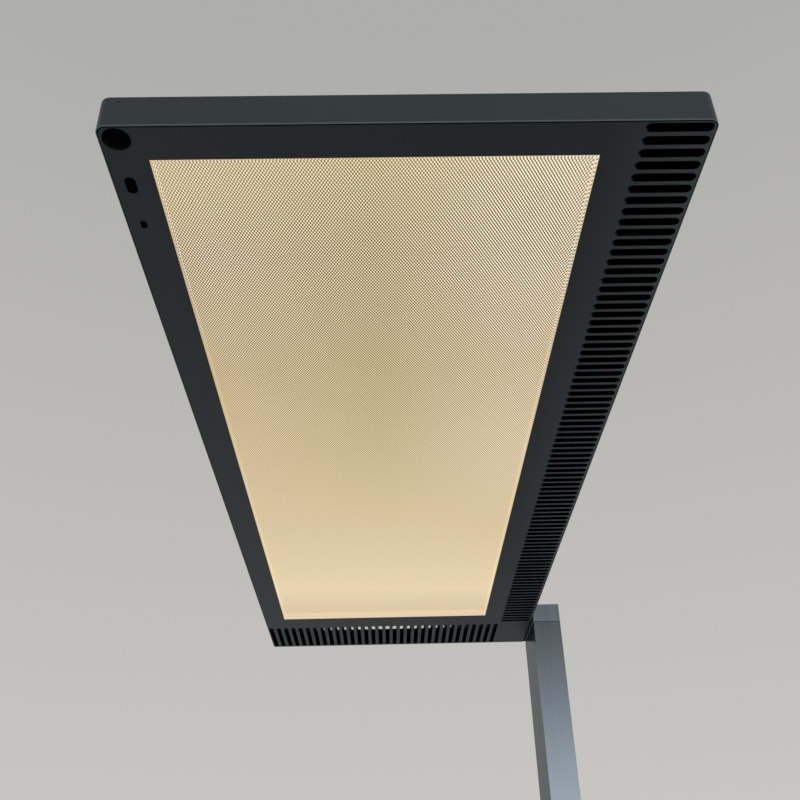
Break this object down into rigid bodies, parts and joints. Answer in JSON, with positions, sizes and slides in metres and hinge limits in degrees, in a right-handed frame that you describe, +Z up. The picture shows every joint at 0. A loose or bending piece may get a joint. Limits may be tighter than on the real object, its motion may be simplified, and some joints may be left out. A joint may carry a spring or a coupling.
{
  "type": "floor lamp",
  "caption": "Office floor lamp with a flat rectangular light head that swivels at the top of a slim post, vent slots along two sides, sensors at the free end, keys on the post and a flat base.",
  "frame": {"origin": "point on the floor under the post's axis, on the underside of the base's pad", "axes": "+Z up along the post and the swivel's axis; the head's free end points to -Y, and the post stands at the head's +X side"},
  "size_m": [0.342, 0.798, 1.97],
  "materials": {
    "anthracite_paint": "fine matt powder coat",
    "anthracite_cast": "matt powder coat",
    "satin_aluminium": "satin anodised",
    "raw_aluminium": "mill finish",
    "zinc_steel": "zinc plated",
    "bearing_bronze": "sintered",
    "rubber_pad": "matt",
    "black_rubber": "matt",
    "black_plastic": "fine grain",
    "sensor_black": "polished",
    "white_plastic": "matt",
    "circuit_board": "solder mask",
    "clear_acrylic": "polished",
    "grey_key": "fine grain",
    "dark_key": "fine grain",
    "prism_diffuser": "micro-prism sheet, lit"
  },
  "bodies": {
    "stand": {"base_pad": "rubber_pad", "base_plate": "anthracite_paint", "base_screws": "zinc_steel", "post_foot": "zinc_steel", "foot_screws": "zinc_steel", "post": "satin_aluminium", "cord_gland": "black_rubber", "led_driver": "white_plastic", "lamp_cable": "black_rubber", "control_bezel": "black_plastic", "control_board": "circuit_board", "key_switches": "black_plastic", "post_insert": "raw_aluminium", "insert_screws": "zinc_steel", "swivel_bush": "bearing_bronze", "thrust_washer": "white_plastic", "stop_screw": "zinc_steel"},
    "head": {"top_housing": "anthracite_paint", "bottom_frame": "anthracite_paint", "vent_grille": "black_plastic", "cover_screws": "zinc_steel", "diffuser": "prism_diffuser", "diffuser_carrier": "white_plastic", "light_guide": "clear_acrylic", "reflector_sheet": "white_plastic", "heat_tray": "raw_aluminium", "led_strip_left": "white_plastic", "led_strip_right": "white_plastic", "motion_lens": "sensor_black", "light_window": "sensor_black", "receiver_window": "sensor_black", "sensor_board": "circuit_board", "head_bracket": "anthracite_cast", "bracket_screws": "zinc_steel", "joint_spacer": "black_plastic", "swivel_block": "satin_aluminium", "swivel_spindle": "zinc_steel", "spring_washer": "zinc_steel", "spindle_nut": "zinc_steel"},
    "power_key": {"power_key": "grey_key"},
    "brighter_key": {"brighter_key": "dark_key"},
    "dimmer_key": {"dimmer_key": "dark_key"}
  },
  "joints": [
    {"name": "head_swivel", "type": "hinge", "parent": "stand", "child": "head", "pos_m": [0, 0, 1.9505], "axis": [0, 0, 1], "range_deg": [-90, 90]},
    {"name": "power_key_press", "type": "slide", "parent": "stand", "child": "power_key", "axis": [0, 1, 0], "range_m": [0, 0.001], "stiffness_N_per_m": 400, "springref_m": -0.003},
    {"name": "brighter_key_press", "type": "slide", "parent": "stand", "child": "brighter_key", "axis": [0, 1, 0], "range_m": [0, 0.001], "stiffness_N_per_m": 400, "springref_m": -0.003},
    {"name": "dimmer_key_press", "type": "slide", "parent": "stand", "child": "dimmer_key", "axis": [0, 1, 0], "range_m": [0, 0.001], "stiffness_N_per_m": 400, "springref_m": -0.003}
  ]
}
